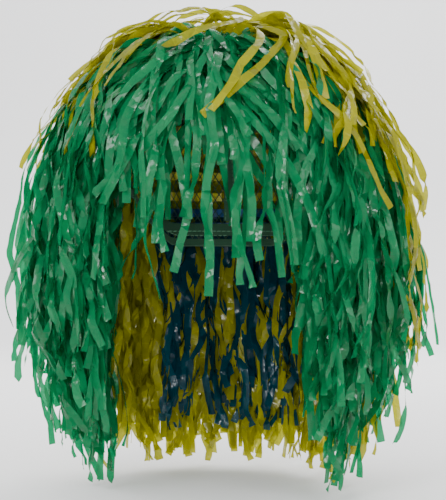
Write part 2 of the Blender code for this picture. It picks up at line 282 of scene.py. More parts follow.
@dataclass
class Effects:
    """Shader groups with the surface effects that the finishes use."""

    octaves: tuple[tuple[float, float], ...] = ((1.0, 1.0), (0.4, 0.28))
    crease_width: float = 0.08
    pull_rate: float = 1100.0
    pull_stretch: float = 0.05
    fuzz_rate: float = 1800.0
    fuzz_share: float = 0.6

    def __post_init__(self) -> None:
        """Build each group once."""
        self.crinkle = self.build_crinkle()
        self.weave = self.build_weave()

    def build_crinkle(self) -> bpy.types.NodeTree:
        """Build the crumpled-film effect: flat facets at random tilts, creases and pull lines.

        Returns:
            The group, which puts out a height in metres, a crease mask and a random shade per facet.
        """
        nodes = new_group("Film crinkle", "ShaderNodeTree",
                          {"Vector": "vector", "Facet Size": float, "Tilt": float, "Pull": float},
                          {"Height": float, "Crease": float, "Shade": float})
        given = nodes.add("NodeGroupInput").outputs
        place = given["Vector"]
        heights, facets = [], []
        for size, share in self.octaves:
            density = nodes.math("DIVIDE", 1.0, nodes.math("MULTIPLY", given["Facet Size"], size))
            facet = {"Vector": place, "Scale": density}
            cells = nodes.add("ShaderNodeTexVoronoi", facet, voronoi_dimensions="2D")
            facets.append((facet, cells))
            away = nodes.vector("SUBTRACT", place, cells.outputs["Position"])
            lean = nodes.vector("SUBTRACT", cells.outputs["Color"], (0.5, 0.5, 0.5))
            heights.append(nodes.math("MULTIPLY", nodes.vector("DOT_PRODUCT", away, lean),
                                      nodes.math("MULTIPLY", given["Tilt"], 2.0 * share)))
        facet, cells = facets[0]
        edges = nodes.add("ShaderNodeTexVoronoi", facet, voronoi_dimensions="2D", feature="DISTANCE_TO_EDGE")
        crease = nodes.math("SUBTRACT", 1.0, nodes.ramp(edges.outputs["Distance"], 0.0, self.crease_width))
        shade = nodes.add("ShaderNodeSeparateColor", {0: cells.outputs["Color"]}).outputs[2]
        stretched = nodes.vector("MULTIPLY", place, (1.0, self.pull_stretch, 1.0))
        pull = nodes.add("ShaderNodeTexNoise", {"Vector": stretched, "Scale": self.pull_rate, "Detail": 1.0})
        lines = nodes.math("MULTIPLY", pull.outputs["Fac"], given["Pull"])
        height = nodes.math("ADD", nodes.math("ADD", *heights), lines)
        nodes.add("NodeGroupOutput", {"Height": height, "Crease": crease, "Shade": shade})
        return nodes.tree

    def build_weave(self) -> bpy.types.NodeTree:
        """Build a plain weave.

        Returns:
            The group, which puts out a height and a tone of random fuzz plus painted shade in the hollows of the
            weave.
        """
        nodes = new_group("Tape weave", "ShaderNodeTree",
                          {"Vector": "vector", "Thread": float}, {"Height": float, "Shade": float})
        given = nodes.add("NodeGroupInput").outputs
        split = nodes.add("ShaderNodeSeparateXYZ", {0: given["Vector"]}).outputs
        rate = nodes.math("DIVIDE", 2.0 * math.pi, given["Thread"])
        waves = []
        for first, second in ((0, 2), (1, 2)):
            slants = (nodes.math(kind, split[first], split[second]) for kind in ("ADD", "SUBTRACT"))
            waves.append(nodes.math("MULTIPLY", *(nodes.math("SINE", nodes.math("MULTIPLY", slant, rate))
                                                  for slant in slants)))
        height = nodes.math("MULTIPLY_ADD", nodes.math("ADD", *waves), 0.25, 0.5)
        fuzz = nodes.add("ShaderNodeTexNoise", {"Vector": given["Vector"], "Scale": self.fuzz_rate})
        # Darker where the weave is low: painted shade in the hollows between threads, with random fuzz on top.
        shade = nodes.math("MULTIPLY_ADD", fuzz.outputs["Fac"], self.fuzz_share,
                           nodes.math("MULTIPLY", height, 0.5))
        nodes.add("NodeGroupOutput", {"Height": height, "Shade": shade})
        return nodes.tree


def blank_material(name: str) -> tuple[bpy.types.Material, Nodes, bpy.types.Node]:
    """Make an empty node material.

    Args:
        name: Name of the material.

    Returns:
        The material, a writer for its tree, and its output node.
    """
    material = bpy.data.materials.new(name)
    material.use_nodes = True
    material.node_tree.nodes.clear()
    nodes = Nodes(material.node_tree)
    return material, nodes, nodes.add("ShaderNodeOutputMaterial")


@dataclass(frozen=True)
class FilmFinish:
    """Glossy, see-through plastic film that has been crumpled."""

    name: str
    deep: tuple[float, float, float]
    pale: tuple[float, float, float]
    glow: tuple[float, float, float]
    facet: float = 0.011
    tilt: float = 0.34
    pull: float = 0.00003
    roughness: float = 0.13
    roughness_spread: float = 0.12
    # Shares of the colour from facet tone, strip tone and the painted highlight along creases.
    tone_and_glint_shares: tuple[float, float, float] = (0.40, 0.60, 0.35)
    ior: float = 1.50
    specular: float = 0.34
    glow_tint: float = 0.35
    glow_share: float = 0.33
    clear_share: float = 0.18

    def build(self, effects: Effects) -> bpy.types.Material:
        """Build the film material.

        Args:
            effects: Shared shader groups.

        Returns:
            The material.
        """
        material, nodes, output = blank_material(self.name)
        place = nodes.add("ShaderNodeUVMap", uv_map="UVMap").outputs[0]
        crinkle = nodes.add("ShaderNodeGroup", {"Vector": place, "Facet Size": self.facet, "Tilt": self.tilt,
                                                "Pull": self.pull}, node_tree=effects.crinkle)
        height, crease, facet = (crinkle.outputs[label] for label in ("Height", "Crease", "Shade"))
        tone = nodes.add("ShaderNodeAttribute", attribute_name="strip_tone").outputs["Fac"]
        by_facet, by_strip, crease_glint_share = self.tone_and_glint_shares
        shade = nodes.math("MULTIPLY_ADD", facet, by_facet, nodes.math("MULTIPLY", tone, by_strip))
        # The crease mask lifts the colour towards pale: a painted highlight along the film's creases.
        shade = nodes.math("MULTIPLY_ADD", crease, crease_glint_share, shade, clamp=True)
        colour = nodes.mix(shade, (*self.deep, 1.0), (*self.pale, 1.0))
        normal = nodes.bump(height)
        gloss = nodes.add("ShaderNodeBsdfPrincipled", {
            "Base Color": colour, "Normal": normal, "IOR": self.ior, "Specular IOR Level": self.specular,
            "Roughness": nodes.math("MULTIPLY_ADD", facet, self.roughness_spread, self.roughness)})
        glow = nodes.add("ShaderNodeBsdfTranslucent", {
            "Color": nodes.mix(self.glow_tint, colour, (*self.glow, 1.0)), "Normal": normal})
        clear = nodes.add("ShaderNodeBsdfTransparent", {"Color": (*self.glow, 1.0)})
        body = nodes.add("ShaderNodeMixShader", {0: self.glow_share, 1: gloss.outputs[0], 2: glow.outputs[0]})
        film = nodes.add("ShaderNodeMixShader", {0: self.clear_share, 1: body.outputs[0], 2: clear.outputs[0]})
        nodes.put(output.inputs["Surface"], film.outputs[0])
        return material


@dataclass(frozen=True)
class TapeFinish:
    """Woven tape, knitted elastic, felt or net yarn: a matt textile with a visible thread."""

    name: str
    dark: tuple[float, float, float]
    light: tuple[float, float, float]
    thread: float = 0.0011
    relief: float = 0.00025
    relief_strength: float = 0.7
    roughness: float = 0.85
    sheen: float = 0.08

    def build(self, effects: Effects) -> bpy.types.Material:
        """Build the textile material.

        Args:
            effects: Shared shader groups.

        Returns:
            The material.
        """
        material, nodes, output = blank_material(self.name)
        place = nodes.add("ShaderNodeTexCoord").outputs["Object"]
        weave = nodes.add("ShaderNodeGroup", {"Vector": place, "Thread": self.thread}, node_tree=effects.weave)
        # The base colour carries the weave's painted shade in the hollows between threads.
        cloth = nodes.add("ShaderNodeBsdfPrincipled", {
            "Base Color": nodes.mix(weave.outputs["Shade"], (*self.dark, 1.0), (*self.light, 1.0)),
            "Roughness": self.roughness, "Sheen Weight": self.sheen,
            "Normal": nodes.bump(weave.outputs["Height"], self.relief_strength, self.relief)})
        nodes.put(output.inputs["Surface"], cloth.outputs[0])
        return material


@dataclass(frozen=True)
class HeadingFinish:
    """Film folded into many layers and sewn flat, so nearly opaque and satin."""

    name: str
    dark: tuple[float, float, float]
    light: tuple[float, float, float]
    facet: float = 0.004
    tilt: float = 0.5
    pull: float = 0.0002
    roughness: float = 0.36
    roughness_spread: float = 0.2

    def build(self, effects: Effects) -> bpy.types.Material:
        """Build the heading material.

        Args:
            effects: Shared shader groups.

        Returns:
            The material.
        """
        material, nodes, output = blank_material(self.name)
        place = nodes.add("ShaderNodeTexCoord").outputs["Object"]
        crinkle = nodes.add("ShaderNodeGroup", {"Vector": place, "Facet Size": self.facet, "Tilt": self.tilt,
                                                "Pull": self.pull}, node_tree=effects.crinkle)
        folded = nodes.add("ShaderNodeBsdfPrincipled", {
            "Base Color": nodes.mix(crinkle.outputs["Shade"], (*self.dark, 1.0), (*self.light, 1.0)),
            "Roughness": nodes.math("MULTIPLY_ADD", crinkle.outputs["Crease"], self.roughness_spread,
                                    self.roughness),
            "Normal": nodes.bump(crinkle.outputs["Height"])})
        nodes.put(output.inputs["Surface"], folded.outputs[0])
        return material


@dataclass
class Finishes:
    """All finishes of the wig, built once."""

    effects: Effects = field(default_factory=Effects)

    def __post_init__(self) -> None:
        """Build the materials."""
        films = {
            Dye.GREEN: FilmFinish("film_green", (0.000, 0.132, 0.044), (0.002, 0.166, 0.057), (0.02, 0.56, 0.22)),
            Dye.YELLOW: FilmFinish("film_yellow", (0.170, 0.165, 0.001), (0.340, 0.330, 0.003), (0.70, 0.68, 0.05)),
            Dye.BLUE: FilmFinish("film_blue", (0.000, 0.020, 0.038), (0.003, 0.062, 0.092), (0.04, 0.26, 0.36)),
        }
        self.film = {dye: finish.build(self.effects) for dye, finish in films.items()}
        headings = {
            Dye.GREEN: HeadingFinish("heading_green", (0.000, 0.100, 0.035), (0.010, 0.260, 0.100)),
            Dye.YELLOW: HeadingFinish("heading_yellow", (0.300, 0.240, 0.004), (0.640, 0.540, 0.040)),
            Dye.BLUE: HeadingFinish("heading_blue", (0.001, 0.020, 0.080), (0.010, 0.080, 0.260)),
        }
        self.heading = {dye: finish.build(self.effects) for dye, finish in headings.items()}
        self.elastic = TapeFinish("knitted_elastic", (0.010, 0.045, 0.022),
                                  (0.040, 0.130, 0.070)).build(self.effects)
        self.tape = TapeFinish("cotton_tape", (0.016, 0.060, 0.032), (0.050, 0.150, 0.085),
                               thread=0.0008).build(self.effects)
        self.felt = TapeFinish("soft_felt", (0.020, 0.070, 0.040), (0.060, 0.150, 0.090),
                               thread=0.0022, relief=0.0004, sheen=0.2).build(self.effects)
        self.yarn = TapeFinish("net_yarn", (0.010, 0.035, 0.020), (0.035, 0.100, 0.055),
                               thread=0.0006, relief=0.0001, roughness=0.7).build(self.effects)
        self.thread = TapeFinish("sewing_thread", (0.060, 0.200, 0.110), (0.180, 0.420, 0.260),
                                 thread=0.0005, relief=0.0001, roughness=0.55).build(self.effects)


# ---------------------------------------------------------------------------------------------
# Shape of the cap and of the mass of strips over it


@dataclass
class CapForm:
    """Half ellipsoid through the net, and the distances of points outside it."""

    half_width: float = 0.0
    half_length: float = 0.0
    height: float = 0.0
    widest_z: float = 0.0

    @classmethod
    def from_net(cls, node: str = "crown_net") -> "CapForm":
        """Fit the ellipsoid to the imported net's own vertices.

        Args:
            node: Name of the net's node.

        Returns:
            The fitted form.
        """
        x, y, z = vertices_of(node).T
        terms = np.stack([x * x, y * y, z * z, z], axis=1)
        a, b, c, d = np.linalg.lstsq(terms, np.ones(len(x)), rcond=None)[0]
        middle = -d / (2.0 * c)
        scale = 1.0 + c * middle * middle
        return cls(math.sqrt(scale / a), math.sqrt(scale / b), math.sqrt(scale / c), middle)

    def folded(self, points: np.ndarray) -> np.ndarray:
        """Measure points from the ellipsoid's middle, with those below it raised to its level.

        Args:
            points: Rows of points.

        Returns:
            The raised points.
        """
        moved = points - np.array((0.0, 0.0, self.widest_z))
        moved[..., 2] = np.maximum(moved[..., 2], 0.0)
        return moved

    def offset(self, points: np.ndarray) -> np.ndarray:
        """Work out how far points lie outside the net.

        Args:
            points: Rows of points.

        Returns:
            Distances in metres.
        """
        moved = self.folded(points)
        size = np.array((self.half_width, self.half_length, self.height))
        reach = np.maximum(np.linalg.norm(moved / size, axis=-1), SMALL)
        return (reach - 1.0) * np.linalg.norm(moved, axis=-1) / reach

    def normal(self, points: np.ndarray) -> np.ndarray:
        """Work out the outward direction of the nested surface through each point.

        Args:
            points: Rows of points.

        Returns:
            Unit directions.
        """
        grown = self.offset(points)[..., None]
        size = np.array((self.half_width, self.half_length, self.height)) + grown
        return unit(self.folded(points) / (size * size))

    def level(self, points: np.ndarray) -> np.ndarray:
        """Work out how far down from the crown points are.

        Args:
            points: Rows of points.

        Returns:
            Degrees.
        """
        moved = self.folded(points)
        across = np.hypot(moved[..., 0] / self.half_width, moved[..., 1] / self.half_length)
        return np.degrees(np.arctan2(across, moved[..., 2] / self.height))

    def place(self, level: np.ndarray, turn: np.ndarray, offset: float = 0.0) -> np.ndarray:
        """Return points on the surface a given offset outside the net.

        Args:
            level: Degrees down from the crown.
            turn: Degrees round from the forehead, positive towards the wearer's left.
            offset: Distance outside the net.

        Returns:
            Rows of points.
        """
        down = np.radians(np.asarray(level, float))
        angle = np.radians(np.asarray(turn, float) - 90.0)
        wide = self.half_width + offset
        long = self.half_length + offset
        reach = np.sin(down) / np.hypot(np.cos(angle) / wide, np.sin(angle) / long)
        z = self.widest_z + (self.height + offset) * np.cos(down)
        return np.stack([reach * np.cos(angle), reach * np.sin(angle), z], axis=-1)


def turn_of(points: np.ndarray) -> np.ndarray:
    """Return signed degrees round from the forehead, positive towards the wearer's left."""
    return (np.degrees(np.arctan2(points[..., 1], points[..., 0])) + 90.0 + 180.0) % 360.0 - 180.0


def vertices_of(node: str) -> np.ndarray:
    """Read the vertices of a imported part.

    Args:
        node: Name of its node.

    Returns:
        Rows of points.
    """
    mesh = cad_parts[node].data
    flat = np.empty(len(mesh.vertices) * 3)
    mesh.vertices.foreach_get("co", flat)
    return flat.reshape(-1, 3)


def line_object(name: str, points: Sequence[np.ndarray], edges: Sequence[np.ndarray]) -> bpy.types.Object:
    """Make an object of plain lines for a Geometry Nodes tree to start from.

    Args:
        name: Name of the object.
        points: Arrays of points.
        edges: Arrays of pairs of point numbers.

    Returns:
        The object, linked to the scene.
    """
    mesh = bpy.data.meshes.new(name)
    mesh.from_pydata(np.concatenate(points).tolist(), np.concatenate(edges).tolist(), [])
    lines = bpy.data.objects.new(name, mesh)
    bpy.context.scene.collection.objects.link(lines)
    return lines


def run_along(path: np.ndarray) -> np.ndarray:
    """Return the distance from a path's start to each of its points."""
    return np.concatenate([[0.0], np.cumsum(np.linalg.norm(np.diff(path, axis=0), axis=1))])


def spread(wanted: np.ndarray, places: np.ndarray, path: np.ndarray) -> np.ndarray:
    """Return the points of a path at wanted distances, given the distance of each of its points."""
    return np.stack([np.interp(wanted, places, path[:, axis]) for axis in range(3)], axis=1)


@dataclass
class Fullness:
    """Thickness of the mass of strips over the cap and of the curtains below it."""

    crown: float = 0.033
    front_drop: float = 0.008
    side_rise: float = 0.044
    curtain_heights: tuple[float, ...] = (-0.325, -0.285, -0.240, -0.147, -0.089)
    curtain_depths: tuple[float, ...] = (0.026, 0.046, 0.076, 0.074, 0.068)
    hang_level: float = 87.0

    def round_share(self, turn: np.ndarray) -> np.ndarray:
        """Return 0 at the forehead rising to 1 from the temples back."""
        return ease(np.abs(turn), 25.0, 80.0) - 0.06 * ease(np.abs(turn), 110.0, 160.0)

    def outer(self, cap: CapForm, points: np.ndarray) -> np.ndarray:
        """Return the offset of the outermost strips at each point's direction.

        Args:
            cap: Form of the cap.
            points: Rows of points.

        Returns:
            Offsets from the net.
        """
        turn = turn_of(points)
        share = self.round_share(turn)
        growth = (cap.level(points) / self.hang_level) ** 2.8
        over_crown = self.crown + (self.side_rise * share - self.front_drop) * growth
        hanging = np.interp(points[..., 2], self.curtain_heights, self.curtain_depths) * (0.42 + 0.58 * share)
        low = ease(-points[..., 2], -self.curtain_heights[-1] - 0.03, -self.curtain_heights[-1])
        return over_crown * (1.0 - low) + hanging * low


# ---------------------------------------------------------------------------------------------
# Film strips


@dataclass
class Starts:
    """Where each strip of a batch begins and how it is meant to fall."""

    root: np.ndarray
    heading: np.ndarray
    bearing: np.ndarray
    layer: np.ndarray
    tip_z: np.ndarray
    face_tip_z: np.ndarray
    longest: np.ndarray
    unruly: np.ndarray
    aim: np.ndarray
    dye: list[Dye]

    @staticmethod
    def joined(parts: Sequence["Starts"]) -> "Starts":
        """Put several batches together.

        Args:
            parts: The batches.

        Returns:
            One batch.
        """
        names = ("root", "heading", "bearing", "layer", "tip_z", "face_tip_z", "longest", "unruly", "aim")
        merged = {name: np.concatenate([getattr(part, name) for part in parts]) for name in names}
        return Starts(dye=[dye for part in parts for dye in part.dye], **merged)


@dataclass
class Fall:
    """Lets strips fall from their headings over the layers beneath them."""

    cap: CapForm
    fullness: Fullness
    step: float = 0.0042
    bend_rate: float = 0.50
    kink_run: float = 0.019
    sideways: float = 0.56
    outwards: float = 0.42
    twist: tuple[float, float] = (0.45, 0.78)
    hang_z: float = -0.0892
    face_turn: float = 38.0
    sharpest: float = 1.7
    first_roll: float = 0.3
    roll_rate: float = 0.45
    curl_share: float = 0.22
    curl_rate: float = 14.0
    hang_range: tuple[float, float] = (0.05, 0.04)
    fewest_steps: int = 3
    onward: float = 0.9
    gap_scale: float = 0.016
    gap_limits: tuple[float, float] = (-1.0, 1.3)
    pull_in: tuple[float, float] = (0.9, 0.35)
    pull: float = 0.75
    calm: tuple[float, float] = (0.60, 0.18)
    wave: float = 0.10
    wave_rates: tuple[float, float, float, float] = (9.0, 60.0, 2.0, 31.0)
    guide: float = 0.7
    guide_span: float = 10.0
    guide_levels: tuple[float, float] = (12.0, 60.0)

    def wander(self, rng: np.random.Generator, count: int, steps: int) -> np.ndarray:
        """Draw the crumples of each strip: runs of constant lean between sharp kinks.

        Args:
            rng: Source of random numbers.
            count: Number of strips.
            steps: Number of steps along a strip.

        Returns:
            Array of sideways lean, outward lean and roll for each strip and step.
        """
        kinks = rng.random((count, steps)) < self.step / self.kink_run
        kinks[:, 0] = True
        values = np.clip(rng.normal(size=(count, steps, 3)), -self.sharpest, self.sharpest)
        last = np.maximum.accumulate(np.where(kinks, np.arange(steps), 0), axis=1)
        return np.take_along_axis(values, last[..., None], axis=1)

    def release(self, starts: Starts, seed: int) -> "Strips":
        """Let the strips fall.

        Args:
            starts: The strips' beginnings.
            seed: Seed of their crumples.

        Returns:
            The fallen strips.
        """
        rng = np.random.default_rng(seed)
        count = len(starts.root)
        steps = int(starts.longest.max() / self.step) + 1
        lean = self.wander(rng, count, steps)
        spin = np.where(rng.random(count) < self.curl_share, rng.normal(size=count) * self.curl_rate, 0.0)
        position, heading = starts.root.copy(), starts.heading.copy()
        points = np.zeros((count, steps, 3))
        faces = np.zeros_like(points)
        roll = rng.normal(size=count) * self.first_roll
        reached = np.full(count, steps)
        for k in range(steps):
            points[:, k] = position
            out = self.cap.normal(position)
            side = unit(np.cross(UP, out) + np.array((0.0, SMALL, 0.0)))
            loose = ease(-position[:, 2], -self.hang_z - self.hang_range[0], -self.hang_z + self.hang_range[1])
            wanted = lean[:, k, 2] * (self.twist[0] * (1.0 - loose) + self.twist[1] * loose)
            roll += (wanted - roll) * self.roll_rate + spin * self.step
            flat = unit(out - dot(out, heading) * heading)
            faces[:, k] = turned(flat, heading, roll)
            over_face = np.abs(turn_of(position)) < self.face_turn
            end_z = np.where(over_face, np.maximum(starts.tip_z, starts.face_tip_z), starts.tip_z)
            done = (position[:, 2] < end_z) | (k * self.step > starts.longest)
            reached = np.minimum(reached, np.where(done & (k > self.fewest_steps), k + 1, steps))
            target = self.target(starts, position, out, side, lean[:, k], loose)
            heading = unit(heading * (1.0 - self.bend_rate) + target * self.bend_rate)
            position = position + heading * self.step
        return Strips(points, faces, reached, starts.dye, rng)

    def target(self, starts: Starts, position: np.ndarray, out: np.ndarray, side: np.ndarray,
               lean: np.ndarray, loose: np.ndarray) -> np.ndarray:
        """Work out where each strip wants to head next.

        Args:
            starts: The strips' beginnings.
            position: Where the strips have come to.
            out: Outward directions there.
            side: Sideways directions there.
            lean: Crumple of this step.
            loose: How freely each strip hangs, from 0 on the cap to 1 in the air.

        Returns:
            Unit directions.
        """
        down = -UP + dot(UP, out) * out
        slope = np.linalg.norm(down, axis=1, keepdims=True)
        ahead = starts.bearing - dot(starts.bearing, out) * out
        flow = down + ahead * (1.0 - slope) * self.onward
        reach = self.cap.offset(position)
        goal = starts.layer * self.fullness.outer(self.cap, position)
        gap = np.clip((goal - reach) / self.gap_scale, *self.gap_limits)
        gap = np.where(gap < 0.0, gap * (self.pull_in[0] - self.pull_in[1] * loose), gap)
        turn, z = turn_of(position), position[:, 2]
        around, down_rate, bend, bend_rate = self.wave_rates
        wave = np.sin(np.radians(turn) * around + z * down_rate + bend * np.sin(z * bend_rate))
        amount = starts.unruly * (self.calm[0] + self.calm[1] * loose)
        drift = (starts.aim - turn + 180.0) % 360.0 - 180.0
        guide = np.clip(drift / self.guide_span, -1.0, 1.0) * ease(self.cap.level(position), *self.guide_levels)
        across = lean[:, 0] * self.sideways * amount + self.wave * wave + guide * self.guide
        rise = lean[:, 1] * self.outwards * amount + gap * self.pull
        return unit(flow + side * across[:, None] + out * rise[:, None])


@dataclass
class Strips:
    """Fallen strips: their middle lines and the way each point of them faces."""

    points: np.ndarray
    faces: np.ndarray
    reached: np.ndarray
    dye: list[Dye]
    rng: np.random.Generator
    crown_z: float = -0.075
    fringe_turn: float = 40.0
    side_turn: float = 125.0
    shift_range: float = 20.0
    fold_steps: int = 8

    def zones(self) -> list[Zone]:
        """Find the zone that each strip ends in.

        Returns:
            One zone for each strip.
        """
        tips = self.points[np.arange(len(self.reached)), self.reached - 1]
        found = []
        for turn, z in zip(turn_of(tips), tips[:, 2]):
            if z > self.crown_z:
                found.append(Zone.CROWN)
            elif abs(turn) < self.fringe_turn:
                found.append(Zone.FRINGE)
            elif abs(turn) < self.side_turn:
                found.append(Zone.LEFT if turn > 0.0 else Zone.RIGHT)
            else:
                found.append(Zone.BACK_LEFT if turn > 0.0 else Zone.BACK_RIGHT)
        return found

    def guides(self, name: str, chosen: Sequence[int]) -> tuple[bpy.types.Object, list[float]]:
        """Make a mesh of plain lines along the middle of some strips.

        Args:
            name: Name of the object.
            chosen: Indices of the strips.

        Returns:
            The object, and each strip's length.
        """
        points, faces, edges, lengths = [], [], [], []
        tone, shift, fold = [], [], []
        first = 0
        for index in chosen:
            count = int(self.reached[index])
            line = self.points[index, :count]
            points.append(line)
            faces.append(self.faces[index, :count])
            run = np.arange(first, first + count - 1)
            edges.append(np.stack([run, run + 1], axis=1))
            first += count
            lengths.append(float(np.linalg.norm(np.diff(line, axis=0), axis=1).sum()))
            tone.append(np.full(count, self.rng.random()))
            shift.append(np.full(count, self.rng.random() * self.shift_range))
            knots = np.arange(0, count + self.fold_steps, self.fold_steps)
            fold.append(np.interp(np.arange(count), knots, self.rng.normal(size=len(knots))))
        obj = line_object(name, points, edges)
        mesh = obj.data
        facing = mesh.attributes.new("strip_face", "FLOAT_VECTOR", "POINT")
        facing.data.foreach_set("vector", np.concatenate(faces).ravel())
        for label, values in (("strip_tone", tone), ("strip_shift", shift), ("strip_fold", fold)):
            attribute = mesh.attributes.new(label, "FLOAT", "POINT")
            attribute.data.foreach_set("value", np.concatenate(values))
        return obj, lengths


@dataclass
class StripCutter:
    """Geometry Nodes that turn guide lines into crumpled strips of film."""

    width: float = 0.0062
    fold: float = 0.0007
    crinkle: float = 0.0016
    crinkle_size: float = 0.011
    seed: int = 7
    points_across: int = 3

    def build(self) -> bpy.types.NodeTree:
        """Build the tree.

        Returns:
            The geometry node group.
        """
        nodes = new_group("Film strips", "GeometryNodeTree",
                          {"Guides": "geometry", "Strip Width": float, "Fold Depth": float,
                           "Crinkle Depth": float, "Crinkle Size": float, "Seed": int, "Film": "material"},
                          {"Strips": "geometry"})
        given = nodes.add("NodeGroupInput").outputs
        curves = nodes.add("GeometryNodeMeshToCurve", {"Mesh": given["Guides"]}).outputs[0]
        facing = self.read(nodes, "strip_face", "FLOAT_VECTOR")
        aimed = nodes.add("GeometryNodeSetCurveNormal", {"Curve": curves, "Normal": facing}, mode="FREE").outputs[0]
        rail = self.stored(nodes, aimed, "run", nodes.add("GeometryNodeSplineParameter").outputs["Length"])
        half = nodes.math("MULTIPLY", given["Strip Width"], 0.5)
        start, end = (nodes.add("ShaderNodeCombineXYZ", {"Y": value}).outputs[0]
                      for value in (nodes.math("MULTIPLY", half, -1.0), half))
        line = nodes.add("GeometryNodeCurvePrimitiveLine", {"Start": start, "End": end}).outputs[0]
        edge = nodes.add("GeometryNodeResampleCurve", {"Curve": line, "Count": self.points_across}).outputs[0]
        profile = self.stored(nodes, edge, "across", nodes.add("GeometryNodeSplineParameter").outputs["Factor"])
        swept = nodes.add("GeometryNodeCurveToMesh", {"Curve": rail, "Profile Curve": profile}).outputs[0]
        across, run, shift, fold = (self.read(nodes, name)
                                    for name in ("across", "run", "strip_shift", "strip_fold"))
        place = nodes.add("ShaderNodeCombineXYZ", {"X": nodes.math("MULTIPLY", across, given["Strip Width"]),
                                                   "Y": nodes.math("ADD", run, shift)}).outputs[0]
        crumple = nodes.add("ShaderNodeTexNoise", {
            "Vector": place, "W": given["Seed"], "Scale": nodes.math("DIVIDE", 1.0, given["Crinkle Size"]),
            "Detail": 1.0}, noise_dimensions="4D").outputs["Fac"]
        rough = nodes.math("MULTIPLY", nodes.math("SUBTRACT", crumple, 0.5),
                           nodes.math("MULTIPLY", given["Crinkle Depth"], 2.0))
        from_middle = nodes.math("ABSOLUTE", nodes.math("MULTIPLY_ADD", across, 2.0, -1.0))
        gutter = nodes.math("MULTIPLY", nodes.math("SUBTRACT", 1.0, from_middle),
                            nodes.math("MULTIPLY", fold, given["Fold Depth"]))
        normal = nodes.add("GeometryNodeInputNormal").outputs["Normal"]
        offset = nodes.vector("SCALE", normal, nodes.math("ADD", rough, gutter))
        moved = nodes.add("GeometryNodeSetPosition", {"Geometry": swept, "Offset": offset}).outputs[0]
        mapped = nodes.add("GeometryNodeStoreNamedAttribute", {"Name": "UVMap", "Geometry": moved, "Value": place},
                           data_type="FLOAT2", domain="CORNER").outputs[0]
        smooth = nodes.add("GeometryNodeSetShadeSmooth", {"Geometry": mapped}).outputs[0]
        nodes.add("NodeGroupOutput", {"Strips": nodes.dressed(smooth, given["Film"])})
        return nodes.tree

    @staticmethod
    def stored(nodes: Nodes, geometry: bpy.types.NodeSocket, name: str,
               value: bpy.types.NodeSocket) -> bpy.types.NodeSocket:
        """Store a number on every point.

        Args:
            nodes: Writer of the tree.
            geometry: Geometry to store it on.
            name: Name of the attribute.
            value: The number.

        Returns:
            The geometry that carries it.
        """
        return nodes.add("GeometryNodeStoreNamedAttribute", {"Name": name, "Geometry": geometry, "Value": value},
                         data_type="FLOAT", domain="POINT").outputs[0]

    @staticmethod
    def read(nodes: Nodes, name: str, kind: str = "FLOAT") -> bpy.types.NodeSocket:
        """Return a named attribute of the geometry."""
        return nodes.add("GeometryNodeInputNamedAttribute", {"Name": name}, data_type=kind).outputs["Attribute"]


def grown_from(tree: bpy.types.NodeTree, source: bpy.types.Object, name: str,
               values: dict[str, object]) -> bpy.types.Object:
    """Run a Geometry Nodes tree on an object and keep the result as a plain mesh.

    Args:
        tree: The node group.
        source: Object that the tree starts from; it is removed.
        name: Name of the new piece.
        values: Values of the tree's inputs by name.

    Returns:
        The new piece, linked to the scene, with no modifier.
    """
    modifier = source.modifiers.new("build", "NODES")
    modifier.node_group = tree
    sockets = {item.name: item.identifier for item in tree.interface.items_tree if item.in_out == "INPUT"}
    for label, value in values.items():
        modifier[sockets[label]] = value
    graph = bpy.context.evaluated_depsgraph_get()
    mesh = bpy.data.meshes.new_from_object(source.evaluated_get(graph))
    source.modifiers.remove(modifier)
    old = source.data
    bpy.data.objects.remove(source)
    bpy.data.meshes.remove(old)
    for label in ("strip_face", "strip_shift", "strip_fold", "run", "across"):
        if label in mesh.attributes:
            mesh.attributes.remove(mesh.attributes[label])
    mesh.name = name
    piece = bpy.data.objects.new(name, mesh)
    bpy.context.scene.collection.objects.link(piece)
    return piece


@dataclass(frozen=True)
class RowPlan:
    """How the strips of one heading fall: how many, in which layer, and down to where."""

    dye: Dye
    per_metre: float
    layer: tuple[float, float]
    tip_z: tuple[float, float]
    longest: float = 0.33


